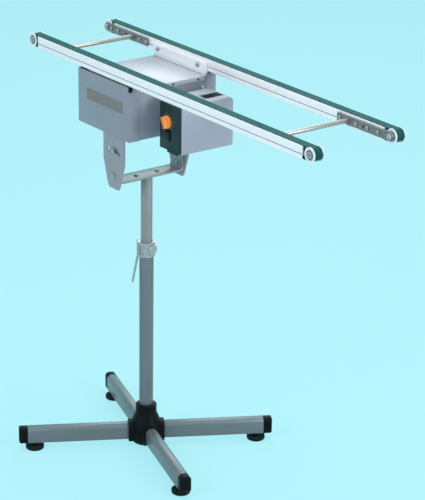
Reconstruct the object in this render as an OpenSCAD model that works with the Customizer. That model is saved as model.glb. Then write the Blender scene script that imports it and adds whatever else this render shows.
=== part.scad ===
// Twin timing belt conveyor on a telescopic stand with a four-leg foot.
// Millimetres. X runs along the belts, Y across them, Z up.
// The origin is on the floor, under the middle of the belts.

/* [Belts] */
// Height of the carrying side of the belts above the floor
belt_top = 925; // [860:1:960]
// Number of teeth on one belt loop
belt_teeth = 405; // [365:2:445]
// Distance from one belt tooth to the next
tooth_pitch = 5; // [4:0.1:5.5]
// Width of a belt
belt_w = 20; // [16:1:22]
// Thickness of the belt's back
belt_back = 1; // [0.8:0.1:1.3]
// Height of a belt tooth
tooth_h = 1.2; // [1:0.1:1.5]
// Width of a belt tooth at its root
tooth_w = 2.65; // [2.2:0.05:2.9]
// Teeth on an end pulley
pulley_teeth = 16; // [14:1:18]
// Teeth cut along each strand from each pulley; the belt between them lies hidden in the rail
teeth_run = 26; // [6:1:30]

/* [Rails] */
// Distance from the conveyor's middle plane to the middle of a rail
rail_y = 101.5; // [94:0.5:115]
// Width of a rail
rail_w = 23; // [22.5:0.5:27]
// Height of a rail
rail_h = 25.2; // [25:0.2:30]
// Gap between a rail's end and the pulley's flange
rail_end_gap = 6; // [4:0.5:10]
// Thickness of the lips that hide the returning belt
lip_t = 1.2; // [1:0.1:1.3]
// Height of the groove above a rail's lower edge
groove_z = 9.5; // [8.5:0.5:10]
// Width of the groove along a rail's sides
groove_w = 1.5; // [1:0.1:2.5]
// Wall of a rail's hollow chamber
rail_wall = 2.4; // [1.8:0.1:3]

/* [Pulleys and bars] */
// Diameter of a pulley's flange
flange_d = 31; // [29:0.5:32]
// Thickness of a pulley's flange
flange_t = 1.3; // [1:0.1:1.4]
// Diameter of the shaft that a pulley turns on
axle_d = 8; // [6:0.5:10]
// Diameter of the shaft's two heads
axle_head_d = 13; // [12:0.5:14]
// Thickness of the head on the bar
axle_head_t = 3; // [2:0.5:4]
// Thickness of the head in the pulley's recess
axle_cap_t = 2; // [1.5:0.1:3]
// Thickness of the bars that carry the pulleys
bar_t = 5; // [4:0.5:7]
// Height of a bar
bar_h = 18; // [16:0.5:20]
// Length of a bar from the pulley's axis to its inner end
bar_len = 158; // [145:1:175]
// Diameter of the open hole in a bar
bar_hole_d = 6; // [4:0.5:8]
// Distance from the pulley's axis to that hole
bar_hole_x = 78; // [70:1:84]
// Diameter of the two cross rods
rod_d = 10; // [8:0.5:12]
// Distance from the left pulleys' axis to the left cross rod
rod_left = 101; // [90:1:115]
// Distance from the right pulleys' axis to the right cross rod
rod_right = 125; // [115:1:135]

/* [Drive housing] */
// Place of the column along the belts
column_x = -206; // [-230:1:-180]
// Length of the drive housing along the belts
house_l = 190; // [175:1:205]
// Drop from the belts' top to the drive housing's top
house_drop = 37; // [36:0.5:45]
// Height of the drive housing
house_h = 115; // [105:1:125]
// Thickness of the cover sheets
sheet_t = 1.5; // [1:0.1:2.5]
// Height of the flange along the top plate's edges
top_flange = 10; // [6:0.5:16]
// Thickness of the side plates
side_t = 3; // [2.5:0.1:3]
// Thickness of the plates that hold the rails
rail_plate_t = 3; // [2.5:0.1:3]
// Reach of a rail plate past the housing's end, away from the control box
rail_plate_over = 6; // [4:0.5:10]
// Radius of a rail plate's lower corner at that end
rail_plate_r = 9; // [4:0.5:10]
// Diameter of the plug at the front cover's corner
plug_d = 8; // [6:0.5:9]
// Height of the plug
plug_h = 9; // [6:0.5:12]

/* [Tilting bracket] */
// Drop from the drive housing's underside to the tilt pivot
pivot_drop = 105; // [95:1:120]
// Distance from the pivot to the curved slot's middle
slot_r = 58; // [50:1:62]
// Largest tilt to either side
tilt_max = 20; // [10:1:22]
// Diameter of the pivot bolts and clamp bolts
bolt_d = 8; // [6:0.5:10]
// Width of a side plate's neck
neck_w = 80; // [70:1:90]
// Width of a side plate's tip
tip_w = 46; // [38:1:56]
// Distance from the pivot down to the side plate's tip
tip_drop = 30; // [24:1:34]
// Width of the yoke
yoke_w = 46; // [40:1:56]
// Thickness of the yoke
yoke_t = 4; // [3:0.5:6]
// Height of the yoke's web below the pivot
yoke_drop = 11; // [9:0.5:14]
// Inner radius of the yoke's two bends
yoke_bend = 4; // [2:0.5:5]

/* [Control box] */
// Length of the control box along the belts
control_l = 80; // [70:1:90]
// Depth of the control box across the belts
control_w = 133; // [120:1:133]
// Height of the control box
control_h = 107; // [95:1:115]
// Drop from the drive housing's top to the control box's top
control_drop = 20; // [10:1:30]
// Gap between the drive housing and the control box
control_gap = 23; // [16:1:30]
// Radius of the control box's rounded edge
control_r = 12; // [6:1:18]
// Thickness of the dark panel
panel_t = 6; // [4:0.5:8]
// Diameter of the speed knob
knob_d = 28; // [22:1:32]
// Height of the speed knob with its grip
knob_h = 14; // [10:0.5:18]
// Lean of the knob's grip
knob_lean = 25; // [0:5:60]
// Length of the power switch along the belts
switch_l = 14; // [12:0.5:18]
// Height of the power switch
switch_h = 24; // [20:0.5:28]
// Length of the vent in the box's top, along the belts
vent_l = 28; // [20:1:34]
// Length of the vent across the belts
vent_w = 50; // [40:1:52]
// Depth of the opening for the vent
vent_depth = 6; // [4:0.5:8]
// Slots in the vent
vent_slots = 7; // [4:1:8]

/* [Column] */
// Outer diameter of the upper tube
upper_d = 26; // [24:0.5:27]
// Outer diameter of the lower tube
lower_d = 32; // [31:0.5:35]
// Wall of the tubes
tube_wall = 2.4; // [1.5:0.1:2.4]
// Bare length of the upper tube above the collar
mast_show = 155; // [145:1:200]
// Length of the upper tube hidden in the lower one
insert = 240; // [225:1:260]
// Outer diameter of the clamp collar
collar_d = 38; // [37:0.5:44]
// Height of the clamp collar
collar_h = 34; // [28:1:40]
// How far the collar stands above the lower tube
collar_over = 28; // [20:1:32]
// Direction that the clamp's lug points in
lug_a = 235; // [200:1:270]
// Reach of the lug from the column's axis
lug_reach = 22; // [20:0.5:25]
// Width of the lug
lug_w = 16; // [12:0.5:20]
// Diameter of the lever that hangs from the lug
lever_d = 5; // [4:0.5:6]
// Length of the lever
lever_l = 64; // [50:1:75]
// Lean of the lever away from the column
lever_lean = 10; // [5:1:14]
// Direction of the open pocket in the collar
pocket_a = 290; // [285:1:305]
// Width of the pocket
pocket_w = 12; // [8:0.5:14]
// Direction that the clamp's knob faces
clamp_knob_a = 12; // [0:1:25]
// Diameter of the clamp's knob
clamp_knob_d = 24; // [18:0.5:26]
// Height of the clamp's knob
clamp_knob_h = 4.5; // [4:0.5:8]

/* [Foot] */
// Distance from the column's axis to a levelling foot
foot_reach = 255; // [230:1:280]
// How far a leg reaches beyond its levelling foot
leg_over = 36; // [30:1:44]
// Width of a leg
leg_w = 26; // [22:1:30]
// Height of a leg
leg_h = 37; // [32:1:42]
// Height of the legs' underside above the floor
leg_z = 18; // [15:1:22]
// Width of the bevel along a leg's upper edges
leg_bevel = 7; // [4:0.5:9]
// Direction of the first leg
leg_a = 60.5; // [50:0.5:70]
// Direction of the second leg
leg_b = -17.5; // [-28:0.5:-10]
// Length of a leg's end cap
cap_l = 20; // [14:1:26]
// Bevel along the outer edges of an end cap
cap_bevel = 3; // [2:0.5:6]
// Diameter of a levelling foot
foot_d = 42; // [36:1:50]
// Thickness of a levelling foot's pad
foot_h = 11; // [8:0.5:13]
// Diameter of a levelling foot's stem
stem_d = 10; // [8:0.5:12]
// Height of the hub's upper end above the floor
hub_top = 102; // [92:1:115]
// Radius of the hub's skirt
hub_r = 34; // [30:1:40]
// Diameter of the hub's neck
hub_neck_d = 48; // [42:1:54]
// Height of the hub's neck
hub_neck_h = 20; // [14:1:26]
// Height of the hub's underside above the floor
hub_z = 8; // [5:0.5:11]
// Wall of the sockets that hold the legs
socket_wall = 4; // [2.5:0.5:5]
// Reach of the sockets beyond the skirt
socket_over = 7; // [4:0.5:12]
// Gap between two legs' inner corners and the hub's middle line
leg_gap = 4; // [2:0.5:8]

/* [Hidden] */
$fn = 64;
seat = 0.3;
fit = 0.08;
// Lean of a belt tooth's flanks, and its room beside and below it in a pulley's groove
flank_a = 20;
groove_side = 0.2;
groove_room = 0.3;

// Belt and pulley: the pitch line lies on the teeth's root.
pitch_r = pulley_teeth * tooth_pitch / (2 * PI);
pulley_r = pitch_r - 0.4;
belt_r = pulley_r + belt_back;
axle_z = belt_top - belt_r;
axle_x = (belt_teeth - pulley_teeth) * tooth_pitch / 4;
pulley_w = belt_w + 2 * groove_side;
recess_r = pulley_r - tooth_h - groove_room - 0.4;

// The belt's loop: its straight strands, its wraps round the pulleys, and the teeth near the pulleys
strand = 2 * axle_x;
wrap = pulley_teeth * tooth_pitch / 2;
loop_l = 2 * (strand + wrap);
right_tooth = ceil(strand / tooth_pitch);
right_end = floor((strand + wrap) / tooth_pitch);
left_tooth = ceil((2 * strand + wrap) / tooth_pitch);
right_turn = (right_tooth - strand / tooth_pitch) * 360 / pulley_teeth;
cut_teeth = concat(
    [for (i = [0 : teeth_run]) i],
    [for (i = [right_tooth - teeth_run : right_end + teeth_run]) i],
    [for (i = [left_tooth - teeth_run : belt_teeth - 1]) i]
);

rail_top = belt_top - belt_back - tooth_h;
rail_bottom = rail_top - rail_h;
rail_end = axle_x - flange_d / 2 - rail_end_gap;
rail_in = rail_y - rail_w / 2;
channel_w = rail_w - 2 * lip_t;
guide_w = (rail_w - belt_w) / 2 - seat;

house_top = belt_top - house_drop;
house_z = house_top - house_h;
house_x0 = column_x - house_l / 2;
house_x1 = column_x + house_l / 2;
plate_out = rail_in;
plate_in = plate_out - rail_plate_t;
side_in = plate_in - side_t;
cover_out = rail_y + rail_w / 2;
cover_top = rail_bottom - 4.5;

pivot_z = house_z - pivot_drop;
slot_w = bolt_d + 1;
ear_out = side_in - seat;
ear_in = ear_out - yoke_t;
ear_top = pivot_z + slot_r + 12;
web_top = pivot_z - yoke_drop;
web_bottom = web_top - yoke_t;

control_x0 = house_x1 + control_gap;
control_y1 = side_in;
control_y0 = control_y1 - control_w;
control_top = house_top - control_drop;
control_z = control_top - control_h;
panel_y = control_y0 - panel_t;
vent_x = control_x0 + 32;
vent_y = control_y0 + 75;

lower_top = web_bottom - mast_show - collar_over;
upper_bottom = lower_top - insert;
collar_z = lower_top + collar_over - collar_h;
knob_seat = lower_d / 2 + 1;
leg_dirs = [leg_a, leg_b, leg_a + 180, leg_b + 180];
leg_start = leg_w / 2 / tan((leg_a - leg_b) / 2) + leg_gap;
leg_end = foot_reach + leg_over;

module along_x(x, length) {
    translate([x, 0, 0]) rotate([90, 0, 90]) linear_extrude(length) children();
}

module along_y(y, length) {
    translate([0, y + length, 0]) rotate([90, 0, 0]) linear_extrude(length) children();
}

// A point at radius r, turned by a from straight up
function polar(r, a) = [r * sin(a), r * cos(a)];

// A rectangle with one or both of its lower corners rounded
module low_round(x0, x1, z0, z1, r, both = true) {
    far = both ? r : 0;
    translate([x0, z0 + r]) square([x1 - x0, z1 - z0 - r]);
    translate([x0 + r, z0]) square([x1 - x0 - r - far, r + 1]);
    translate([x0 + r, z0 + r]) circle(r);
    if (both) translate([x1 - r, z0 + r]) circle(r);
}

// Rails: guides beside the carrying belt, a hollow chamber, side grooves and a channel for the returning belt
module rail_section() {
    difference() {
        union() {
            translate([-rail_w / 2, rail_bottom]) square([rail_w, rail_h]);
            for (x = [-rail_w / 2, rail_w / 2 - guide_w])
                translate([x, rail_top - 1]) square([guide_w, tooth_h + 1]);
        }
        translate([-channel_w / 2, rail_bottom - 1]) square([channel_w, groove_z - 1]);
        translate([-rail_w / 2 + rail_wall, rail_bottom + groove_z + groove_w])
            square([rail_w - 2 * rail_wall, rail_h - groove_z - groove_w - rail_wall]);
        for (s = [-1, 1])
            translate([s * rail_w / 2 - 1, rail_bottom + groove_z - 0.5]) square([2, groove_w]);
    }
}

module rail(side) {
    color("whitesmoke")
        along_x(-rail_end, 2 * rail_end) translate([side * rail_y, 0]) rail_section();
}

// A point on the loop that the teeth's roots follow: s runs along it from the left pulley's top, d into it
function loop_at(s, d) =
    s <= strand ? [s - axle_x, axle_z + pulley_r - d] :
    s <= strand + wrap ? [axle_x, axle_z] + polar(pulley_r - d, 180 * (s - strand) / wrap) :
    s <= 2 * strand + wrap ? [axle_x + strand + wrap - s, axle_z - pulley_r + d] :
    [-axle_x, axle_z] + polar(pulley_r - d, 180 + 180 * (s - 2 * strand - wrap) / wrap);

// The four corners of a belt tooth, root and tip
function tooth(i) =
    let (root = tooth_w / 2, tip = root - tooth_h * tan(flank_a))
    [for (p = [[-root, 0], [-tip, tooth_h], [tip, tooth_h], [root, 0]])
        loop_at((i * tooth_pitch + p[0] + loop_l) % loop_l, p[1])];

// Belts: one closed loop, its smooth back outside, its teeth inside
module belt(side) {
    color([0.05, 0.36, 0.30])
        along_y(side * rail_y - belt_w / 2, belt_w)
            difference() {
                translate([0, axle_z]) {
                    square([2 * axle_x, 2 * belt_r], center = true);
                    for (s = [-1, 1]) translate([s * axle_x, 0]) circle(belt_r);
                }
                polygon([for (i = cut_teeth) each tooth(i)]);
            }
}

// Pulleys: grooves that take the belt's teeth, between two flanges with a round recess
function groove_half(d) = tooth_w / 2 + groove_side + d * tan(flank_a);

module grooved_disc(turn) {
    depth = tooth_h + groove_room;
    difference() {
        circle(pulley_r - seat);
        for (i = [0 : pulley_teeth - 1])
            rotate(-turn - i * 360 / pulley_teeth)
                polygon([
                    [-groove_half(1), pulley_r + 1], [groove_half(1), pulley_r + 1],
                    [groove_half(-depth), pulley_r - depth], [-groove_half(-depth), pulley_r - depth]
                ]);
    }
}

module pulley(x, side) {
    color("gainsboro")
        difference() {
            union() {
                along_y(side * rail_y - pulley_w / 2, pulley_w)
                    translate([x, axle_z]) grooved_disc(x > 0 ? right_turn : 0);
                for (s = [-1, 1])
                    along_y(side * rail_y + s * (pulley_w + flange_t) / 2 - flange_t / 2, flange_t)
                        translate([x, axle_z]) difference() {
                            circle(d = flange_d);
                            circle(recess_r);
                        }
            }
            along_y(side * rail_y - rail_w, 2 * rail_w) translate([x, axle_z]) circle(d = axle_d + 2 * fit);
        }
}

// Bars on the rails' inner sides, each with a rounded end round its axle
module bar(dir, side) {
    y0 = side > 0 ? rail_in - bar_t : -rail_in;
    color("gray")
        along_y(y0, bar_t)
            difference() {
                union() {
                    translate([dir * axle_x, axle_z]) circle(d = bar_h);
                    translate([dir * axle_x - (dir > 0 ? bar_len : 0), axle_z - bar_h / 2]) square([bar_len, bar_h]);
                }
                translate([dir * axle_x, axle_z]) circle(d = axle_d);
                translate([dir * (axle_x - bar_hole_x), axle_z]) circle(d = bar_hole_d);
                translate([dir * (axle_x - (dir > 0 ? rod_right : rod_left)), axle_z]) circle(d = rod_d);
            }
}

// Axles: a shaft through bar and pulley, with a head on the bar and one in the pulley's recess
module axle(x, side) {
    y_in = rail_in - bar_t;
    y_out = rail_y + pulley_w / 2;
    color("silver")
        mirror([0, side > 0 ? 0 : 1, 0]) {
            along_y(y_in, y_out - y_in) translate([x, axle_z]) circle(d = axle_d);
            along_y(y_in - axle_head_t, axle_head_t) translate([x, axle_z]) circle(d = axle_head_d);
            along_y(y_out, axle_cap_t) translate([x, axle_z]) circle(d = axle_head_d);
        }
}

module cross_rod(x) {
    color("silver")
        along_y(-rail_in, 2 * rail_in) translate([x, axle_z]) circle(d = rod_d);
}

// Plates that hold the rails on the side plates
module rail_plate(side) {
    y0 = side > 0 ? plate_in : -plate_out;
    color("whitesmoke")
        along_y(y0, rail_plate_t)
            difference() {
                union() {
                    low_round(house_x0 - rail_plate_over, house_x1 + 2, cover_top + seat, belt_top - 9,
                        rail_plate_r, false);
                    translate([house_x0 + seat, house_top - 32])
                        square([house_l - 2 * seat, cover_top + seat + rail_plate_r - house_top + 32]);
                }
                for (x = [house_x0 + 12, house_x1 - 30]) translate([x, belt_top - 20]) circle(d = 5);
            }
}

// Side plates with their necks, curved slots and pivot holes
module side_outline() {
    x0 = column_x;
    polygon([
        [house_x0, house_top], [house_x0, house_z], [x0 - neck_w / 2, house_z],
        [x0 - neck_w / 2, pivot_z + 32], [x0 - tip_w / 2, pivot_z - tip_drop + 8],
        [x0 - tip_w / 2 + 6, pivot_z - tip_drop], [x0 + tip_w / 2 - 6, pivot_z - tip_drop],
        [x0 + tip_w / 2, pivot_z - tip_drop + 8], [x0 + neck_w / 2, pivot_z + 32],
        [x0 + neck_w / 2, house_z], [house_x1, house_z], [house_x1, house_top]
    ]);
}

// One closed outline: outer arc, round end, inner arc, round end
module slot_outline() {
    reach = tilt_max + 1;
    half = slot_w / 2;
    steps = 28;
    translate([column_x, pivot_z])
        polygon(concat(
            [for (i = [0:steps]) polar(slot_r + half, reach * (2 * i / steps - 1))],
            [for (t = [15:15:165]) polar(slot_r, reach) + polar(half, reach + t)],
            [for (i = [0:steps]) polar(slot_r - half, reach * (1 - 2 * i / steps))],
            [for (t = [15:15:165]) polar(slot_r, -reach) + polar(half, 180 - reach + t)]
        ));
}

module side_plate(side) {
    y0 = side > 0 ? side_in : -plate_in;
    color([0.60, 0.65, 0.70])
        along_y(y0, side_t)
            difference() {
                side_outline();
                slot_outline();
                translate([column_x, pivot_z]) circle(d = bolt_d);
            }
}

// Drive housing
module drive_housing() {
    color([0.50, 0.56, 0.62])
        translate([house_x0, -side_in, house_z])
            cube([house_l, 2 * side_in, house_h - sheet_t]);
}

module top_plate() {
    color([0.62, 0.67, 0.72])
        difference() {
            translate([house_x0 - sheet_t, -side_in, house_top - top_flange])
                cube([house_l + 2 * sheet_t, 2 * side_in, top_flange]);
            translate([house_x0, -side_in - 1, house_top - top_flange - 1])
                cube([house_l, 2 * side_in + 2, top_flange + 1 - sheet_t]);
        }
}

module cover(side) {
    depth = cover_out - plate_in;
    color([0.52, 0.58, 0.65])
        difference() {
            mirror([0, side > 0 ? 0 : 1, 0])
                difference() {
                    translate([house_x0 - sheet_t, plate_in, house_z])
                        cube([house_l + 2 * sheet_t, depth, cover_top - house_z]);
                    translate([house_x0, plate_in - 1, house_z + sheet_t])
                        cube([house_l, depth + 1 - sheet_t, cover_top - house_z]);
                }
            if (side < 0) plug_form(seat, 1);
        }
}

// The plug fills a notch at the front cover's upper corner
module plug_form(gap, over) {
    translate([house_x1 + 1, -cover_out + 3.5, cover_top - plug_h - gap])
        cylinder(d = plug_d + 2 * gap, h = plug_h + gap + over);
}

module cover_plug() {
    color("black")
        plug_form(0, 0);
}

// Control box
module control_box() {
    color([0.62, 0.66, 0.74])
        difference() {
            along_x(control_x0, control_l) {
                translate([control_y0, control_z]) square([control_w, control_h - control_r]);
                translate([control_y0, control_z]) square([control_w - control_r, control_h]);
                translate([control_y1 - control_r, control_top - control_r]) circle(control_r);
            }
            translate([vent_x, vent_y, control_top - vent_depth]) cube([vent_l, vent_w, vent_depth + 1]);
        }
}

// A moulded grille that lies in the box's top, with slots along the belts
module vent_insert() {
    pitch = vent_w / vent_slots;
    color("black")
        difference() {
            translate([vent_x + fit, vent_y + fit, control_top - vent_depth])
                cube([vent_l - 2 * fit, vent_w - 2 * fit, vent_depth - 2]);
            for (i = [0 : vent_slots - 1])
                translate([vent_x + 2, vent_y + (i + 0.25) * pitch, control_top - vent_depth + 1])
                    cube([vent_l - 4, pitch / 2, vent_depth]);
        }
}

// Dark panel, with a lip that hangs from its lower edge
module control_panel() {
    z0 = control_z + 2;
    color([0.08, 0.13, 0.13]) {
        translate([control_x0 + 8, panel_y, z0]) cube([control_l - 11, panel_t, control_h - 6]);
        along_x(control_x0 + 37, 32)
            polygon([
                [panel_y, z0 + 3], [panel_y - 2, z0 + 1], [panel_y - 2, z0 - 3], [panel_y + 1, z0 - 5],
                [control_y0 - seat, z0 - 5], [control_y0 - seat, z0 + 3]
            ]);
    }
}

// Speed knob: a round base with a straight grip across it
module speed_knob() {
    grip_w = 8;
    color("orange")
        translate([control_x0 + 38, panel_y, control_z + 64])
            rotate([90, 0, 0]) {
                cylinder(d = knob_d, h = 5);
                rotate(knob_lean)
                    intersection() {
                        cylinder(d = knob_d - 2, h = knob_h);
                        translate([-grip_w / 2, -knob_d / 2, 0]) cube([grip_w, knob_d, knob_h]);
                    }
            }
}

// Power switch: a flat bezel round a slanted rocker
module power_switch() {
    z0 = control_z + 23;
    z1 = z0 + switch_h;
    x0 = control_x0 + 33;
    color("black") {
        translate([x0, panel_y - 1.5, z0]) cube([switch_l, 1.5, switch_h]);
        along_x(x0 + 2, switch_l - 4)
            polygon([
                [panel_y - 1, z0 + 2], [panel_y - 2, z0 + 2], [panel_y - 2.6, (z0 + z1) / 2],
                [panel_y - 4.6, z1 - 2], [panel_y - 1, z1 - 2]
            ]);
    }
}

module motor_mount() {
    color([0.55, 0.60, 0.66])
        translate([house_x1, control_y0 + 20, control_z + 20]) cube([control_gap, 90, 70]);
}

// Yoke: a strip folded up into two ears with round tops
module yoke() {
    color("silver")
        difference() {
            intersection() {
                along_x(column_x - yoke_w / 2, yoke_w)
                    difference() {
                        low_round(-ear_out, ear_out, web_bottom, ear_top + 1, yoke_bend + yoke_t);
                        low_round(-ear_in, ear_in, web_top, ear_top + 2, yoke_bend);
                    }
                along_y(-ear_out - 1, 2 * ear_out + 2)
                    union() {
                        translate([column_x - yoke_w / 2, web_bottom - 1])
                            square([yoke_w, ear_top - yoke_w / 2 - web_bottom + 1]);
                        translate([column_x, ear_top - yoke_w / 2]) circle(d = yoke_w);
                    }
            }
            for (s = [-1, 1])
                along_y(s * ear_in - 10, 20) {
                    translate([column_x, pivot_z]) circle(d = bolt_d + 2 * fit);
                    translate([column_x, pivot_z + slot_r]) circle(d = bolt_d);
                }
        }
}

// Bolts through the side plates: the pivot bolts turn with the head
module pivot_bolt(side) {
    color("silver")
        mirror([0, side > 0 ? 0 : 1, 0]) {
            along_y(ear_in - 1, plate_in - ear_in + 1) translate([column_x, pivot_z]) circle(d = bolt_d);
            along_y(plate_in, 4) translate([column_x, pivot_z]) circle(d = bolt_d + 6);
        }
}

module clamp_bolt(side) {
    z = pivot_z + slot_r;
    color("silver")
        mirror([0, side > 0 ? 0 : 1, 0]) {
            along_y(ear_in, plate_in + seat - ear_in) translate([column_x, z]) circle(d = bolt_d);
            along_y(plate_in + seat, 4.5) translate([column_x, z]) circle(d = bolt_d + 6);
        }
}

// Column
module upper_tube() {
    color("silver")
        translate([column_x, 0, upper_bottom])
            difference() {
                cylinder(d = upper_d, h = web_bottom - upper_bottom);
                translate([0, 0, -1]) cylinder(d = upper_d - 2 * tube_wall, h = web_bottom - upper_bottom - 5);
            }
}

module lower_tube() {
    color([0.55, 0.60, 0.62])
        translate([column_x, 0, leg_z])
            difference() {
                cylinder(d = lower_d, h = lower_top - leg_z);
                translate([0, 0, -1]) cylinder(d = upper_d + 2 * fit, h = lower_top - leg_z + 2);
            }
}

// Clamp collar: round, with a lug for the lever, an open pocket beside it and a flat under the knob
module clamp_collar() {
    color("silver")
        translate([column_x, 0, collar_z])
            difference() {
                union() {
                    cylinder(d = collar_d, h = collar_h);
                    rotate(lug_a) translate([0, -lug_w / 2, 0]) cube([lug_reach, lug_w, collar_h]);
                }
                translate([0, 0, -1]) cylinder(d = upper_d + 2 * fit, h = collar_h + 2);
                translate([0, 0, -1]) cylinder(d = lower_d + 2 * fit, h = lower_top - collar_z + 1 + seat);
                rotate(clamp_knob_a) translate([knob_seat, -collar_d / 2, -1])
                    cube([collar_d, collar_d, collar_h + 2]);
                rotate(pocket_a) translate([lower_d / 2 - 0.5, -pocket_w / 2, lower_top - collar_z + 1])
                    cube([collar_d, pocket_w, collar_over - 8]);
            }
}

// Clamp knob: a turned head with a sunk middle, on the collar's flat
module clamp_knob() {
    r = clamp_knob_d / 2;
    h = clamp_knob_h;
    color("silver")
        translate([column_x, 0, collar_z + collar_h / 2])
            rotate(clamp_knob_a) translate([knob_seat, 0, 0]) rotate([0, 90, 0])
                rotate_extrude()
                    polygon([[0, 0], [r, 0], [r, h - 1], [r - 1, h], [5, h], [4, h - 1.2], [0, h - 1.2]]);
}

// Clamp lever: a round rod that hangs from the lug and leans away from the column
module clamp_lever() {
    drop = lever_d / 2 * sin(lever_lean) + seat;
    color("gray")
        translate([column_x, 0, collar_z - drop]) rotate(lug_a)
            translate([lower_d / 2 + 4, 0, 0])
                rotate([0, 180 - lever_lean, 0]) cylinder(d = lever_d, h = lever_l);
}

// Hub: a moulded skirt that narrows to a neck, with a socket for each leg and a bore for the column
module hub() {
    neck_r = hub_neck_d / 2;
    color([0.1, 0.1, 0.1])
        translate([column_x, 0, 0])
            difference() {
                union() {
                    rotate_extrude()
                        polygon([
                            [0, hub_z], [hub_r - 4, hub_z], [hub_r, hub_z + 5], [hub_r, leg_z + leg_h + 2],
                            [neck_r, hub_top - hub_neck_h], [neck_r, hub_top - 2],
                            [neck_r - 2, hub_top], [0, hub_top]
                        ]);
                    for (a = leg_dirs) rotate(a) leg_form(hub_r + socket_over, socket_wall);
                }
                translate([0, 0, leg_z]) cylinder(d = lower_d, h = hub_top);
                for (a = leg_dirs) rotate(a) translate([leg_start, 0, 0]) leg_form(2 * hub_r);
            }
}

// A leg's outline along X, or one that stands out from it by grow
module leg_form(length, grow = 0) {
    half = leg_w / 2 + grow;
    z0 = leg_z - grow;
    z1 = leg_z + leg_h + grow;
    along_x(0, length)
        polygon([
            [-half, z0], [half, z0], [half, z1 - leg_bevel], [half - leg_bevel, z1],
            [-half + leg_bevel, z1], [-half, z1 - leg_bevel]
        ]);
}

module leg(i) {
    color([0.50, 0.55, 0.57])
        translate([column_x, 0, 0]) rotate(leg_dirs[i]) translate([leg_start, 0, 0])
            leg_form(leg_end - cap_l - leg_start);
}

// A moulded cap that closes a leg, with its outer edges bevelled
module leg_cap(i) {
    half = leg_w / 2;
    z1 = leg_z + leg_h;
    b = cap_bevel;
    color([0.1, 0.1, 0.1])
        translate([column_x, 0, 0]) rotate(leg_dirs[i]) translate([leg_end - cap_l, 0, 0])
            intersection() {
                leg_form(cap_l);
                linear_extrude(z1 + 1)
                    polygon([
                        [-1, -half - 1], [cap_l - b - 1, -half - 1], [cap_l + 1, b - half + 1],
                        [cap_l + 1, half - b - 1], [cap_l - b - 1, half + 1], [-1, half + 1]
                    ]);
                along_y(-half - 1, leg_w + 2)
                    polygon([
                        [-1, leg_z - 1], [cap_l - b - 1, leg_z - 1], [cap_l + 1, leg_z + b + 1],
                        [cap_l + 1, z1 - b - 1], [cap_l - b - 1, z1 + 1], [-1, z1 + 1]
                    ]);
            }
}

// A levelling foot: a pad with a rounded lower edge, and a stem up to the leg's underside
module foot(i) {
    r = foot_d / 2;
    round_r = 4;
    color([0.1, 0.1, 0.1])
        translate([column_x, 0, 0]) rotate(leg_dirs[i]) translate([foot_reach, 0, 0])
            rotate_extrude()
                polygon(concat(
                    [[0, 0]],
                    [for (t = [0:15:90]) [r - round_r, round_r] + round_r * [sin(t), -cos(t)]],
                    [[r, foot_h - 2], [r - 2, foot_h], [stem_d / 2, foot_h], [stem_d / 2, leg_z], [0, leg_z]]
                ));
}

rail(-1);  // rail_front
rail(1);  // rail_rear
belt(-1);  // belt_front
belt(1);  // belt_rear
pulley(-axle_x, -1);  // pulley_front_left
pulley(axle_x, -1);  // pulley_front_right
pulley(-axle_x, 1);  // pulley_rear_left
pulley(axle_x, 1);  // pulley_rear_right
bar(-1, -1);  // bar_front_left
bar(1, -1);  // bar_front_right
bar(-1, 1);  // bar_rear_left
bar(1, 1);  // bar_rear_right
axle(-axle_x, -1);  // axle_front_left
axle(axle_x, -1);  // axle_front_right
axle(-axle_x, 1);  // axle_rear_left
axle(axle_x, 1);  // axle_rear_right
cross_rod(-axle_x + rod_left);  // cross_rod_left
cross_rod(axle_x - rod_right);  // cross_rod_right
rail_plate(-1);  // rail_plate_front
rail_plate(1);  // rail_plate_rear
side_plate(-1);  // side_plate_front
side_plate(1);  // side_plate_rear
drive_housing();
top_plate();
cover(-1);  // front_cover
cover(1);  // rear_cover
cover_plug();
motor_mount();
control_box();
control_panel();
speed_knob();
power_switch();
vent_insert();
pivot_bolt(-1);  // pivot_bolt_front
pivot_bolt(1);  // pivot_bolt_rear
yoke();
clamp_bolt(-1);  // clamp_bolt_front
clamp_bolt(1);  // clamp_bolt_rear
upper_tube();
lower_tube();
clamp_collar();
clamp_knob();
clamp_lever();
hub();
leg(0);  // leg_1
leg(1);  // leg_2
leg(2);  // leg_3
leg(3);  // leg_4
leg_cap(0);  // leg_cap_1
leg_cap(1);  // leg_cap_2
leg_cap(2);  // leg_cap_3
leg_cap(3);  // leg_cap_4
foot(0);  // foot_1
foot(1);  // foot_2
foot(2);  // foot_3
foot(3);  // foot_4
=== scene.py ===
import math

import bpy
from mathutils import Matrix, Vector


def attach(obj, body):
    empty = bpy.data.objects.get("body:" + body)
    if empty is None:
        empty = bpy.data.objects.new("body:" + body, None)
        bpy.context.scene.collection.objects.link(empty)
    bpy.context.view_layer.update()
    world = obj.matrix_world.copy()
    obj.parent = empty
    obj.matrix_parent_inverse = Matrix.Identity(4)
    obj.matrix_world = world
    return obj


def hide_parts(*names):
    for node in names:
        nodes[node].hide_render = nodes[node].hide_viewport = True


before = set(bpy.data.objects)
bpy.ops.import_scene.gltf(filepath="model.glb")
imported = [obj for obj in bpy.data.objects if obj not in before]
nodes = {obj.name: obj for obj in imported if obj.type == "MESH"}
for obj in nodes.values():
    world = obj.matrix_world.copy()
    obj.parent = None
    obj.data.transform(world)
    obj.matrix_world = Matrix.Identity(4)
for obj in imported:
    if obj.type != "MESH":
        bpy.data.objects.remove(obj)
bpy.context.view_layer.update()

# Studio
# A pale floor that runs up into the background, lit by soft lamps from the left, the right and above.
# The camera stands where the photograph was taken from.
bpy.context.scene.view_settings.view_transform = "Standard"

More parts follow.
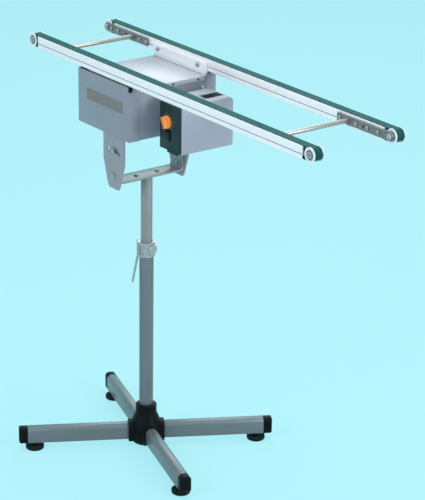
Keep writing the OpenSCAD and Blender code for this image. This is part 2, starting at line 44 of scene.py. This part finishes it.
camera_place = Vector((3.359, -2.495, 2.161))
camera_aim = Vector((0.0379, 0.0, 0.5540))
camera_roll = math.radians(0.85)
focal_pixels = 2100.0
image_width = 425

camera_data = bpy.data.cameras.new("camera")
camera_data.sensor_fit = "HORIZONTAL"
camera_data.sensor_width = 36.0
camera_data.lens = camera_data.sensor_width * focal_pixels / image_width
camera_data.clip_end = 60.0
camera = bpy.data.objects.new("camera", camera_data)
bpy.context.scene.collection.objects.link(camera)
look = (camera_aim - camera_place).to_track_quat("-Z", "Y").to_matrix().to_4x4()
camera.matrix_world = Matrix.Translation(camera_place) @ look @ Matrix.Rotation(camera_roll, 4, "Z")
bpy.context.scene.camera = camera

pale_blue = (0.425, 0.92, 1.0, 1.0)


def backdrop_share(tree, strength):
    """The share of the backdrop's own colour, for the rays that look at it straight or in a reflection."""
    path = tree.nodes.new("ShaderNodeLightPath")
    seen = path.outputs["Is Camera Ray"]
    for ray in ("Is Glossy Ray", "Is Transmission Ray"):
        either = tree.nodes.new("ShaderNodeMath")
        either.operation = "MAXIMUM"
        tree.links.new(seen, either.inputs[0])
        tree.links.new(path.outputs[ray], either.inputs[1])
        seen = either.outputs["Value"]
    share = tree.nodes.new("ShaderNodeMath")
    share.operation = "MULTIPLY"
    share.inputs[1].default_value = strength
    tree.links.new(seen, share.inputs[0])
    return share.outputs["Value"]


floor_material = bpy.data.materials.new("pale_floor")
floor_material.use_nodes = True
tree = floor_material.node_tree
shader = tree.nodes["Principled BSDF"]
shader.inputs["Base Color"].default_value = (0.62, 0.80, 0.84, 1.0)
shader.inputs["Roughness"].default_value = 0.9
shader.inputs["Specular IOR Level"].default_value = 0.1
glow = tree.nodes.new("ShaderNodeEmission")
glow.inputs["Color"].default_value = pale_blue
mix = tree.nodes.new("ShaderNodeMixShader")
tree.links.new(backdrop_share(tree, 0.80), mix.inputs["Fac"])
tree.links.new(shader.outputs["BSDF"], mix.inputs[1])
tree.links.new(glow.outputs["Emission"], mix.inputs[2])
tree.links.new(mix.outputs["Shader"], tree.nodes["Material Output"].inputs["Surface"])

bpy.ops.object.select_all(action="DESELECT")
bpy.ops.mesh.primitive_plane_add(size=24.0, location=(0.0, 0.0, 0.0))
floor = bpy.context.object
floor.name = "studio_floor"
floor.data.materials.append(floor_material)

world = bpy.data.worlds.new("studio")
bpy.context.scene.world = world
world.use_nodes = True
tree = world.node_tree
background = tree.nodes["Background"]
background.inputs["Color"].default_value = (0.90, 0.95, 1.0, 1.0)
background.inputs["Strength"].default_value = 0.42
backdrop = tree.nodes.new("ShaderNodeBackground")
backdrop.inputs["Color"].default_value = pale_blue
backdrop.inputs["Strength"].default_value = 1.0
mix = tree.nodes.new("ShaderNodeMixShader")
tree.links.new(backdrop_share(tree, 1.0), mix.inputs["Fac"])
tree.links.new(background.outputs["Background"], mix.inputs[1])
tree.links.new(backdrop.outputs["Background"], mix.inputs[2])
tree.links.new(mix.outputs["Shader"], tree.nodes["World Output"].inputs["Surface"])


def add_softbox(name, place, width, power):
    """A square area lamp that points at the middle of the conveyor."""
    data = bpy.data.lights.new(name, "AREA")
    data.shape = "SQUARE"
    data.size = width
    data.energy = power
    lamp = bpy.data.objects.new(name, data)
    bpy.context.scene.collection.objects.link(lamp)
    turn = (Vector((0.0, 0.0, 0.6)) - Vector(place)).to_track_quat("-Z", "Y").to_matrix().to_4x4()
    lamp.matrix_world = Matrix.Translation(place) @ turn


add_softbox("lamp_right", (3.4, 1.2, 2.2), 1.6, 68.0)
add_softbox("lamp_front", (0.6, -3.6, 2.4), 1.8, 56.0)
add_softbox("lamp_above", (-0.2, 0.4, 3.6), 2.2, 58.0)
add_softbox("lamp_behind", (-2.8, 2.6, 2.6), 1.8, 26.0)

# Rails
# Two bright anodised aluminium extrusions, sawn to length. The die leaves fine lines along them,
# and the sides take a faint lavender cast.


def make_metal_lines():
    """Fine lines along one axis: a colour, a roughness and a height that change across the lines."""
    group = bpy.data.node_groups.new("metal_lines", "ShaderNodeTree")
    face = group.interface
    face.new_socket("Color", in_out="INPUT", socket_type="NodeSocketColor")
    face.new_socket("Roughness", in_out="INPUT", socket_type="NodeSocketFloat")
    face.new_socket("Lines", in_out="INPUT", socket_type="NodeSocketVector")
    face.new_socket("Contrast", in_out="INPUT", socket_type="NodeSocketFloat")
    face.new_socket("Color", in_out="OUTPUT", socket_type="NodeSocketColor")
    face.new_socket("Roughness", in_out="OUTPUT", socket_type="NodeSocketFloat")
    face.new_socket("Height", in_out="OUTPUT", socket_type="NodeSocketFloat")
    inner = group.nodes
    link = group.links.new
    source = inner.new("NodeGroupInput")
    result = inner.new("NodeGroupOutput")
    place = inner.new("ShaderNodeTexCoord")
    stretch = inner.new("ShaderNodeVectorMath")
    stretch.operation = "MULTIPLY"
    link(place.outputs["Object"], stretch.inputs[0])
    link(source.outputs["Lines"], stretch.inputs[1])
    streaks = inner.new("ShaderNodeTexNoise")
    streaks.inputs["Scale"].default_value = 1.0
    streaks.inputs["Detail"].default_value = 3.0
    link(stretch.outputs["Vector"], streaks.inputs["Vector"])
    clouds = inner.new("ShaderNodeTexNoise")
    clouds.inputs["Scale"].default_value = 7.0
    clouds.inputs["Detail"].default_value = 2.0
    link(place.outputs["Object"], clouds.inputs["Vector"])
    both = inner.new("ShaderNodeMath")
    both.operation = "MULTIPLY_ADD"
    both.inputs[1].default_value = 0.5
    link(clouds.outputs["Fac"], both.inputs[0])
    half = inner.new("ShaderNodeMath")
    half.operation = "MULTIPLY"
    half.inputs[1].default_value = 0.5
    link(streaks.outputs["Fac"], half.inputs[0])
    link(half.outputs["Value"], both.inputs[2])
    centred = inner.new("ShaderNodeMath")
    centred.operation = "SUBTRACT"
    centred.inputs[1].default_value = 0.5
    link(both.outputs["Value"], centred.inputs[0])
    scaled = inner.new("ShaderNodeMath")
    scaled.operation = "MULTIPLY"
    link(centred.outputs["Value"], scaled.inputs[0])
    link(source.outputs["Contrast"], scaled.inputs[1])
    value = inner.new("ShaderNodeMath")
    value.operation = "ADD"
    value.inputs[1].default_value = 1.0
    link(scaled.outputs["Value"], value.inputs[0])
    tint = inner.new("ShaderNodeVectorMath")
    tint.operation = "SCALE"
    link(source.outputs["Color"], tint.inputs[0])
    link(value.outputs["Value"], tint.inputs["Scale"])
    rough = inner.new("ShaderNodeMath")
    rough.operation = "MULTIPLY_ADD"
    link(scaled.outputs["Value"], rough.inputs[0])
    rough.inputs[1].default_value = 0.8
    link(source.outputs["Roughness"], rough.inputs[2])
    link(tint.outputs["Vector"], result.inputs["Color"])
    link(rough.outputs["Value"], result.inputs["Roughness"])
    link(streaks.outputs["Fac"], result.inputs["Height"])
    return group


metal_lines = make_metal_lines()


def lined_metal(name, color, roughness, lines, contrast=0.25, metallic=1.0, relief=0.02):
    """A metal with fine lines. The lines' repeats per metre along X, Y and Z give their direction."""
    material = bpy.data.materials.new(name)
    material.use_nodes = True
    tree = material.node_tree
    shader = tree.nodes["Principled BSDF"]
    shader.inputs["Metallic"].default_value = metallic
    effect = tree.nodes.new("ShaderNodeGroup")
    effect.node_tree = metal_lines
    effect.inputs["Color"].default_value = (*color, 1.0)
    effect.inputs["Roughness"].default_value = roughness
    effect.inputs["Lines"].default_value = lines
    effect.inputs["Contrast"].default_value = contrast
    bump = tree.nodes.new("ShaderNodeBump")
    bump.inputs["Strength"].default_value = relief
    bump.inputs["Distance"].default_value = 0.001
    tree.links.new(effect.outputs["Color"], shader.inputs["Base Color"])
    tree.links.new(effect.outputs["Roughness"], shader.inputs["Roughness"])
    tree.links.new(effect.outputs["Height"], bump.inputs["Height"])
    tree.links.new(bump.outputs["Normal"], shader.inputs["Normal"])
    return material


def dress(material, *names):
    """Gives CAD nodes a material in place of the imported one."""
    for name in names:
        node = nodes[name]
        node.data.materials.clear()
        node.data.materials.append(material)


anodised = lined_metal("anodised_aluminium", (0.94, 0.94, 0.98), 0.42, (3.0, 900.0, 900.0), 0.10, metallic=0.15)
dress(anodised, "rail_front", "rail_rear")

# Painted shade: the floor of the groove along the rails' sides is painted dark, for the shade that falls in it.
# The sawn ends stay bright.
groove_middle = 0.90735
groove_half = 0.0009
sawn_end = 0.4646
tree = anodised.node_tree
place = tree.nodes.new("ShaderNodeTexCoord")
axes = tree.nodes.new("ShaderNodeSeparateXYZ")
tree.links.new(place.outputs["Object"], axes.inputs["Vector"])
within = []
for axis, middle, reach in (("Z", groove_middle, groove_half), ("X", 0.0, sawn_end)):
    near = tree.nodes.new("ShaderNodeMath")
    near.operation = "COMPARE"
    near.inputs[1].default_value = middle
    near.inputs[2].default_value = reach
    tree.links.new(axes.outputs[axis], near.inputs[0])
    within.append(near.outputs["Value"])
in_groove = tree.nodes.new("ShaderNodeMath")
in_groove.operation = "MULTIPLY"
tree.links.new(within[0], in_groove.inputs[0])
tree.links.new(within[1], in_groove.inputs[1])
# The painted shade's dark colour is mixed into the base colour inside the groove.
groove_painted_shade = tree.nodes.new("ShaderNodeMix")
groove_painted_shade.data_type = "RGBA"
groove_painted_shade.inputs[7].default_value = (0.30, 0.32, 0.36, 1.0)
base_color = tree.nodes["Principled BSDF"].inputs["Base Color"]
tree.links.new(base_color.links[0].from_socket, groove_painted_shade.inputs[6])
tree.links.new(in_groove.outputs["Value"], groove_painted_shade.inputs[0])
tree.links.new(groove_painted_shade.outputs[2], base_color)

# Belts
# Endless toothed belts of dark green polyurethane with a fine matte back that the workpiece rides on.


def make_grain():
    """Fine grain over soft cloudy patches, for paint, rubber and moulded plastic."""
    group = bpy.data.node_groups.new("grain", "ShaderNodeTree")
    face = group.interface
    face.new_socket("Color", in_out="INPUT", socket_type="NodeSocketColor")
    face.new_socket("Roughness", in_out="INPUT", socket_type="NodeSocketFloat")
    face.new_socket("Grains per metre", in_out="INPUT", socket_type="NodeSocketFloat")
    face.new_socket("Contrast", in_out="INPUT", socket_type="NodeSocketFloat")
    face.new_socket("Color", in_out="OUTPUT", socket_type="NodeSocketColor")
    face.new_socket("Roughness", in_out="OUTPUT", socket_type="NodeSocketFloat")
    face.new_socket("Height", in_out="OUTPUT", socket_type="NodeSocketFloat")
    inner = group.nodes
    link = group.links.new
    source = inner.new("NodeGroupInput")
    result = inner.new("NodeGroupOutput")
    place = inner.new("ShaderNodeTexCoord")
    fine = inner.new("ShaderNodeTexNoise")
    fine.inputs["Detail"].default_value = 2.0
    link(place.outputs["Object"], fine.inputs["Vector"])
    link(source.outputs["Grains per metre"], fine.inputs["Scale"])
    patches = inner.new("ShaderNodeTexNoise")
    patches.inputs["Scale"].default_value = 11.0
    patches.inputs["Detail"].default_value = 3.0
    link(place.outputs["Object"], patches.inputs["Vector"])
    centred = inner.new("ShaderNodeMath")
    centred.operation = "SUBTRACT"
    centred.inputs[1].default_value = 0.5
    link(patches.outputs["Fac"], centred.inputs[0])
    scaled = inner.new("ShaderNodeMath")
    scaled.operation = "MULTIPLY"
    link(centred.outputs["Value"], scaled.inputs[0])
    link(source.outputs["Contrast"], scaled.inputs[1])
    value = inner.new("ShaderNodeMath")
    value.operation = "ADD"
    value.inputs[1].default_value = 1.0
    link(scaled.outputs["Value"], value.inputs[0])
    tint = inner.new("ShaderNodeVectorMath")
    tint.operation = "SCALE"
    link(source.outputs["Color"], tint.inputs[0])
    link(value.outputs["Value"], tint.inputs["Scale"])
    rough = inner.new("ShaderNodeMath")
    rough.operation = "ADD"
    link(scaled.outputs["Value"], rough.inputs[0])
    link(source.outputs["Roughness"], rough.inputs[1])
    link(tint.outputs["Vector"], result.inputs["Color"])
    link(rough.outputs["Value"], result.inputs["Roughness"])
    link(fine.outputs["Fac"], result.inputs["Height"])
    return group


grain = make_grain()


def grained(name, color, roughness, grains, contrast=0.2, relief=0.1, metallic=0.0, coat=0.0, gloss=0.5):
    """Paint, rubber or plastic with a fine grain."""
    material = bpy.data.materials.new(name)
    material.use_nodes = True
    tree = material.node_tree
    shader = tree.nodes["Principled BSDF"]
    shader.inputs["Metallic"].default_value = metallic
    shader.inputs["Specular IOR Level"].default_value = gloss
    shader.inputs["Coat Weight"].default_value = coat
    shader.inputs["Coat Roughness"].default_value = 0.25
    effect = tree.nodes.new("ShaderNodeGroup")
    effect.node_tree = grain
    effect.inputs["Color"].default_value = (*color, 1.0)
    effect.inputs["Roughness"].default_value = roughness
    effect.inputs["Grains per metre"].default_value = grains
    effect.inputs["Contrast"].default_value = contrast
    bump = tree.nodes.new("ShaderNodeBump")
    bump.inputs["Strength"].default_value = relief
    bump.inputs["Distance"].default_value = 0.0005
    tree.links.new(effect.outputs["Color"], shader.inputs["Base Color"])
    tree.links.new(effect.outputs["Roughness"], shader.inputs["Roughness"])
    tree.links.new(effect.outputs["Height"], bump.inputs["Height"])
    tree.links.new(bump.outputs["Normal"], shader.inputs["Normal"])
    return material


belt_green = grained("green_polyurethane", (0.004, 0.075, 0.070), 0.60, 1800.0, 0.25, 0.25, gloss=0.12)
dress(belt_green, "belt_front", "belt_rear")

# End pulleys, bars, axles and cross rods
# Turned aluminium pulleys between brushed steel bars, on zinc-plated axles. Chromed rods tie the
# two conveyors together.
turned = lined_metal("turned_aluminium", (0.86, 0.87, 0.91), 0.34, (40.0, 900.0, 40.0), 0.15, metallic=0.25)
dress(turned, "pulley_front_left", "pulley_front_right", "pulley_rear_left", "pulley_rear_right")

bar_steel = lined_metal("brushed_bar_steel", (0.215, 0.205, 0.205), 0.36, (60.0, 700.0, 700.0), 0.9, metallic=0.5)
dress(bar_steel, "bar_front_left", "bar_front_right", "bar_rear_left", "bar_rear_right")

zinc = lined_metal("bright_zinc", (0.44, 0.43, 0.425), 0.28, (400.0, 400.0, 400.0), 0.3, metallic=0.6)
dress(zinc, "axle_front_left", "axle_front_right", "axle_rear_left", "axle_rear_right")

chrome = lined_metal("hard_chrome", (0.42, 0.38, 0.35), 0.22, (60.0, 900.0, 60.0), 0.2, metallic=0.45)
dress(chrome, "cross_rod_left", "cross_rod_right")


def only(piece):
    """Makes a piece the one that operators act on."""
    bpy.ops.object.select_all(action="DESELECT")
    piece.select_set(True)
    bpy.context.view_layer.objects.active = piece


def cut(piece, cutter):
    """Takes a cutter's shape out of a piece."""
    remove = piece.modifiers.new("cut", "BOOLEAN")
    remove.operation = "DIFFERENCE"
    remove.solver = "EXACT"
    remove.object = cutter
    only(piece)
    bpy.ops.object.modifier_apply(modifier=remove.name)
    bpy.data.objects.remove(cutter)


def round_edges(piece, width):
    """Rounds the edges that a piece's faces meet at."""
    only(piece)
    bevel = piece.modifiers.new("edges", "BEVEL")
    bevel.limit_method = "ANGLE"
    bevel.angle_limit = math.radians(30.0)
    bevel.width = width
    bevel.segments = 2
    bpy.ops.object.modifier_apply(modifier=bevel.name)
    bpy.ops.object.shade_smooth_by_angle(angle=math.radians(35.0))


def finish_node(name, body, width, *cutters):
    """A copy of a node's shape with its edges rounded and any recess cut, which stands for the node."""
    piece = bpy.data.objects.new(name + "_finished", nodes[name].data.copy())
    bpy.context.scene.collection.objects.link(piece)
    only(piece)
    bpy.ops.object.mode_set(mode="EDIT")
    bpy.ops.mesh.select_all(action="SELECT")
    bpy.ops.mesh.remove_doubles(threshold=0.000005)
    bpy.ops.mesh.dissolve_limited(angle_limit=math.radians(0.5))
    bpy.ops.object.mode_set(mode="OBJECT")
    for cutter in cutters:
        cut(piece, cutter)
    round_edges(piece, width)
    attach(piece, body)
    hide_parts(name)
    return piece


def add_drum(radius, height, place=(0.0, 0.0, 0.0), turn=(0.0, 0.0, 0.0), sides=32):
    """A round or six-sided blank, with its place in its mesh."""
    bpy.ops.object.select_all(action="DESELECT")
    bpy.ops.mesh.primitive_cylinder_add(
        vertices=sides, radius=radius, depth=height, location=place, rotation=turn
    )
    bpy.ops.object.transform_apply(location=True, rotation=True, scale=True)
    return bpy.context.object


def make_socket_screw(radius, height):
    """A screw's round head with a six-sided socket, its seat at the origin and its face up."""
    head = add_drum(radius, height, (0.0, 0.0, height / 2))
    cut(head, add_drum(radius * 0.52, height * 1.2, (0.0, 0.0, height), sides=6))
    round_edges(head, radius * 0.12)
    return head


def make_hex_bolt(radius, height, shaft):
    """A six-sided head on a washer, with a shaft of the given length below its seat."""
    washer = add_drum(radius * 1.16, 0.001, (0.0, 0.0, 0.0005))
    head = add_drum(radius, height - 0.001, (0.0, 0.0, (height + 0.001) / 2), sides=6)
    pin = add_drum(0.004, shaft, (0.0, 0.0, -shaft / 2))
    for piece in (washer, head):
        round_edges(piece, 0.0003)
    only(head)
    washer.select_set(True)
    pin.select_set(True)
    bpy.ops.object.join()
    return head


def set_out(master, name, body, material, spots):
    """Copies of a piece, each at a place with its face turned one way."""
    master.data.materials.clear()
    master.data.materials.append(material)
    pieces = []
    for index, (place, facing) in enumerate(spots):
        turn = Vector(facing).to_track_quat("Z", "Y").to_matrix().to_4x4()
        mesh = master.data.copy()
        mesh.transform(Matrix.Translation(place) @ turn)
        piece = bpy.data.objects.new(f"{name}_{index + 1}", mesh)
        bpy.context.scene.collection.objects.link(piece)
        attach(piece, body)
        pieces.append(piece)
    bpy.data.objects.remove(master)
    return pieces


axle_x = 0.48625
axle_z = 0.911668
for side, depth in (("front", -1.0), ("rear", 1.0)):
    for end, along in (("left", -1.0), ("right", 1.0)):
        socket = add_drum(
            0.0034, 0.005, (along * axle_x, depth * 0.1137, axle_z), (math.pi / 2, 0.0, 0.0), sides=6
        )
        finish_node(f"axle_{side}_{end}", "head", 0.0003, socket)
        finish_node(f"bar_{side}_{end}", "head", 0.0006)
        finish_node(f"pulley_{side}_{end}", "head", 0.0002)
for name in ("cross_rod_left", "cross_rod_right"):
    finish_node(name, "head", 0.0005)
for name in ("rail_front", "rail_rear"):
    finish_node(name, "head", 0.0002)

# Screws that hold the bars on the rails, and the painted shade in the hole between them
# Zinc-plated socket screws on the bars' inner faces. A black disc in the hole is painted shade, for the dark
# inside of a blind bore.
screw_places = (0.337, 0.3865, 0.421, 0.4525, -0.468, -0.441, -0.357, -0.331)
set_out(
    make_socket_screw(0.0042, 0.0026), "bar_screw", "head", zinc,
    [((x, s * 0.085, axle_z), (0.0, -s, 0.0)) for s in (-1.0, 1.0) for x in screw_places],
)

# Black rubber for the feet, the plug and small dark screws. The same black is also the painted shade in the bars'
# bores.
black_rubber_and_bore_shade = grained("black_rubber_and_bore_shade", (0.008, 0.008, 0.009), 0.60, 1400.0, 0.25, 0.20, gloss=0.15)
# A black disc deep in each bore: painted shade.
painted_bore_shade = add_drum(0.0029, 0.002, (0.0, 0.0, 0.001))
round_edges(painted_bore_shade, 0.0004)
set_out(
    painted_bore_shade, "bar_bore_shade", "head", black_rubber_and_bore_shade,
    [((x, s * 0.0899, axle_z), (0.0, -s, 0.0)) for s in (-1.0, 1.0) for x in (-0.40825, 0.40825)],
)

# Bearing seals
# Grey steel-faced rings in the pulleys' recesses, round the axles' heads.
seal_steel = lined_metal("seal_steel", (0.20, 0.195, 0.19), 0.40, (500.0, 4.0, 500.0), 0.3, metallic=0.4)
seal = add_drum(0.0102, 0.0007, (0.0, 0.0, 0.00035), sides=48)
cut(seal, add_drum(0.0068, 0.003, sides=48))
round_edges(seal, 0.00015)
set_out(
    seal, "bearing_seal", "head", seal_steel,
    [((x, s * 0.1117, axle_z), (0.0, s, 0.0)) for s in (-1.0, 1.0) for x in (-axle_x, axle_x)],
)

# Drive housing, side plates and covers
# Folded sheet steel with a grey-blue satin paint. The top plate has a paler one, and the plates that
# hold the rails are nearly white.
pale_paint = grained("pale_satin_paint", (0.88, 0.89, 0.94), 0.42, 1500.0, 0.08, 0.06)
dress(pale_paint, "rail_plate_front", "rail_plate_rear")

housing_paint = grained("housing_satin_paint", (0.250, 0.272, 0.330), 0.40, 1500.0, 0.22, 0.08, coat=0.15)
dress(housing_paint, "drive_housing", "front_cover", "rear_cover")

top_paint = grained("top_satin_paint", (0.430, 0.450, 0.510), 0.36, 1500.0, 0.22, 0.08, coat=0.15)
dress(top_paint, "top_plate")

bracket_paint = grained("bracket_satin_paint", (0.300, 0.312, 0.355), 0.42, 1500.0, 0.20, 0.08)
dress(bracket_paint, "side_plate_front", "side_plate_rear")
dress(black_rubber_and_bore_shade, "cover_plug", "foot_1", "foot_2", "foot_3", "foot_4")

for name in ("rail_plate_front", "rail_plate_rear", "side_plate_front", "side_plate_rear"):
    finish_node(name, "head", 0.0004)
for name in ("front_cover", "rear_cover", "top_plate"):
    finish_node(name, "head", 0.0006)
finish_node("drive_housing", "head", 0.001)
finish_node("cover_plug", "head", 0.0004)

# Screws of the housing
# Six-sided bolts hold the rails' plates and close the housing's end. Small dark screws hold the top
# plate's flanges, and one the front cover.
set_out(
    make_hex_bolt(0.005, 0.0038, 0.002), "rail_plate_bolt", "head", zinc,
    [((x, s * 0.087, 0.905), (0.0, -s, 0.0)) for s in (-1.0, 1.0) for x in (-0.289, -0.141)],
)
set_out(
    make_hex_bolt(0.005, 0.0038, 0.002), "housing_bolt", "head", zinc,
    [((-0.111, 0.077, 0.862), (1.0, 0.0, 0.0))],
)
set_out(
    make_socket_screw(0.0022, 0.0010), "flange_screw", "head", black_rubber_and_bore_shade,
    [((-0.1095, y, 0.883), (1.0, 0.0, 0.0)) for y in (-0.066, 0.0, 0.066)]
    + [((-0.3025, y, 0.883), (-1.0, 0.0, 0.0)) for y in (-0.066, 0.0, 0.066)],
)
set_out(
    make_socket_screw(0.0026, 0.0010), "cover_screw", "head", zinc,
    [((-0.221, -0.113, 0.883), (0.0, -1.0, 0.0))],
)

# Label plate
# A bare aluminium plate on the front cover, pressed with a narrow raised rim.
bpy.ops.object.select_all(action="DESELECT")
bpy.ops.mesh.primitive_cube_add(size=1.0, location=(-0.2015, -0.1135, 0.843), scale=(0.133, 0.001, 0.024))
bpy.ops.object.transform_apply(location=True, rotation=True, scale=True)
label_plate = bpy.context.object
label_plate.name = "label_plate"
for face in label_plate.data.polygons:
    face.select = face.normal.y < -0.9
bpy.context.tool_settings.mesh_select_mode = (False, False, True)
bpy.ops.object.mode_set(mode="EDIT")
bpy.ops.mesh.inset(thickness=0.0014, depth=-0.0003)
bpy.ops.object.mode_set(mode="OBJECT")
round_edges(label_plate, 0.0001)
label_metal = lined_metal("label_aluminium", (0.21, 0.182, 0.175), 0.42, (5.0, 800.0, 800.0), 0.25, metallic=0.1)
label_plate.data.materials.append(label_metal)
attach(label_plate, "head")

# Motor mount and control box
# A cast aluminium mount, and a painted steel box with a dark moulded panel on its front.
cast_metal = grained("cast_aluminium", (0.42, 0.45, 0.50), 0.50, 600.0, 0.3, 0.35, metallic=0.7)
dress(cast_metal, "motor_mount")

box_paint = grained("box_satin_paint", (0.365, 0.385, 0.470), 0.40, 1500.0, 0.16, 0.08, coat=0.15)
dress(box_paint, "control_box")

panel_plastic = grained("panel_plastic", (0.008, 0.026, 0.026), 0.38, 1100.0, 0.3, 0.2, gloss=0.3)
dress(panel_plastic, "control_panel")

orange_plastic = grained("orange_plastic", (0.93, 0.31, 0.060), 0.34, 1100.0, 0.15, 0.08)
dress(orange_plastic, "speed_knob")

black_plastic = grained("black_plastic", (0.006, 0.006, 0.007), 0.40, 1200.0, 0.25, 0.15, gloss=0.2)
dress(black_plastic, "power_switch", "vent_insert")

finish_node("motor_mount", "head", 0.002)
finish_node("control_box", "head", 0.0012)
finish_node("control_panel", "head", 0.0009)
finish_node("power_switch", "head", 0.0004)
finish_node("vent_insert", "head", 0.0003)

# The knob's grip has a channel between two ridges, and leans to the left.
knob_lean = math.radians(25.0)
bpy.ops.object.select_all(action="DESELECT")
bpy.ops.mesh.primitive_cube_add(
    size=1.0, location=(-0.050, -0.0675, 0.825), rotation=(0.0, -knob_lean, 0.0), scale=(0.003, 0.009, 0.022)
)
bpy.ops.object.transform_apply(location=True, rotation=True, scale=True)
finish_node("speed_knob", "head", 0.0007, bpy.context.object)

# Dial marks
# Short pale strokes printed round the speed knob.
dial_ink = grained("dial_ink", (0.55, 0.60, 0.60), 0.45, 1500.0, 0.1, 0.05)
dial_strokes = []
for degrees in range(-135, 136, 30):
    turn = math.radians(degrees)
    bpy.ops.object.select_all(action="DESELECT")
    bpy.ops.mesh.primitive_cube_add(
        size=1.0,
        location=(-0.050 + 0.0185 * math.sin(turn), -0.05515, 0.825 + 0.0185 * math.cos(turn)),
        rotation=(0.0, turn, 0.0), scale=(0.0009, 0.0003, 0.003),
    )
    bpy.ops.object.transform_apply(location=True, rotation=True, scale=True)
    round_edges(bpy.context.object, 0.00008)
    dial_strokes.append(bpy.context.object)
for stroke in dial_strokes:
    stroke.select_set(True)
bpy.ops.object.join()
dial_marks = bpy.context.object
dial_marks.name = "dial_marks"
dial_marks.data.materials.append(dial_ink)
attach(dial_marks, "head")

# Yoke, bolts and column
# A zinc-plated yoke on a ground steel tube, which a clamp collar holds in a painted lower tube.
plated_sheet = lined_metal("plated_sheet", (0.32, 0.32, 0.33), 0.40, (300.0, 6.0, 300.0), 0.35, metallic=0.35)
dress(plated_sheet, "yoke")
dress(zinc, "pivot_bolt_front", "pivot_bolt_rear", "clamp_bolt_front", "clamp_bolt_rear", "clamp_lever")

tube_steel = lined_metal("ground_steel", (0.27, 0.26, 0.26), 0.32, (160.0, 160.0, 3.0), 1.2, metallic=0.35)
dress(tube_steel, "upper_tube")

column_paint = grained("column_metallic_paint", (0.168, 0.186, 0.203), 0.36, 1600.0, 0.25, 0.08, metallic=0.35)
dress(column_paint, "lower_tube", "leg_1", "leg_2", "leg_3", "leg_4")

polished = lined_metal("polished_casting", (0.42, 0.41, 0.41), 0.20, (80.0, 80.0, 80.0), 0.6, metallic=0.55)
dress(polished, "clamp_collar", "clamp_knob")

finish_node("yoke", "mast", 0.0005)
finish_node("upper_tube", "mast", 0.0005)
finish_node("clamp_collar", "base", 0.0006)
finish_node("clamp_knob", "base", 0.0006)
finish_node("clamp_lever", "base", 0.0005)
finish_node("lower_tube", "base", 0.0004)

# Tilt bolts and web screws
# Six-sided zinc-plated bolts on washers at the pivot and in the curved slots. Two socket screws hold
# the yoke's web on the upper tube's head.
pivot_bolts = set_out(
    make_hex_bolt(0.006, 0.004, 0.0083), "pivot_hex_bolt", "head", zinc,
    [((-0.206, s * 0.087, 0.668), (0.0, s, 0.0)) for s in (-1.0, 1.0)],
)
clamp_bolts = set_out(
    make_hex_bolt(0.006, 0.0045, 0.0076), "clamp_hex_bolt", "mast", zinc,
    [((-0.206, s * 0.0873, 0.726), (0.0, s, 0.0)) for s in (-1.0, 1.0)],
)
for bolts, kind in ((pivot_bolts, "pivot_bolt"), (clamp_bolts, "clamp_bolt")):
    for bolt, side in zip(bolts, ("front", "rear")):
        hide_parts(f"{kind}_{side}")
set_out(
    make_socket_screw(0.0045, 0.004), "web_screw", "mast", zinc,
    [((-0.206, y, 0.657), (0.0, 0.0, 1.0)) for y in (-0.028, 0.028)],
)

# Foot
# A moulded hub and end caps of black plastic.
hub_plastic = grained("hub_plastic", (0.004, 0.004, 0.005), 0.42, 900.0, 0.3, 0.25, gloss=0.10)
dress(hub_plastic, "hub", "leg_cap_1", "leg_cap_2", "leg_cap_3", "leg_cap_4")

finish_node("hub", "base", 0.001)
for number in (1, 2, 3, 4):
    finish_node(f"leg_{number}", "base", 0.0008)
    finish_node(f"leg_cap_{number}", "base", 0.0009)
    finish_node(f"foot_{number}", "base", 0.0004)

# Screws of the hub
# Small black socket screws in the neck, and at both sides of each leg's socket.
hub_spots = []
for degrees in (8.0, 98.0, 188.0, 278.0):
    turn = math.radians(degrees)
    outward = Vector((math.cos(turn), math.sin(turn), 0.0))
    hub_spots.append((Vector((-0.206, 0.0, 0.094)) + outward * 0.0238, outward))
for degrees in (60.5, -17.5, 240.5, 162.5):
    turn = math.radians(degrees)
    outward = Vector((math.cos(turn), math.sin(turn), 0.0))
    across = Vector((-outward.y, outward.x, 0.0))
    for side in (-1.0, 1.0):
        hub_spots.append(
            (Vector((-0.206, 0.0, 0.033)) + outward * 0.0375 + across * side * 0.017, across * side)
        )
set_out(make_socket_screw(0.0024, 0.0011), "hub_screw", "base", black_rubber_and_bore_shade, hub_spots)
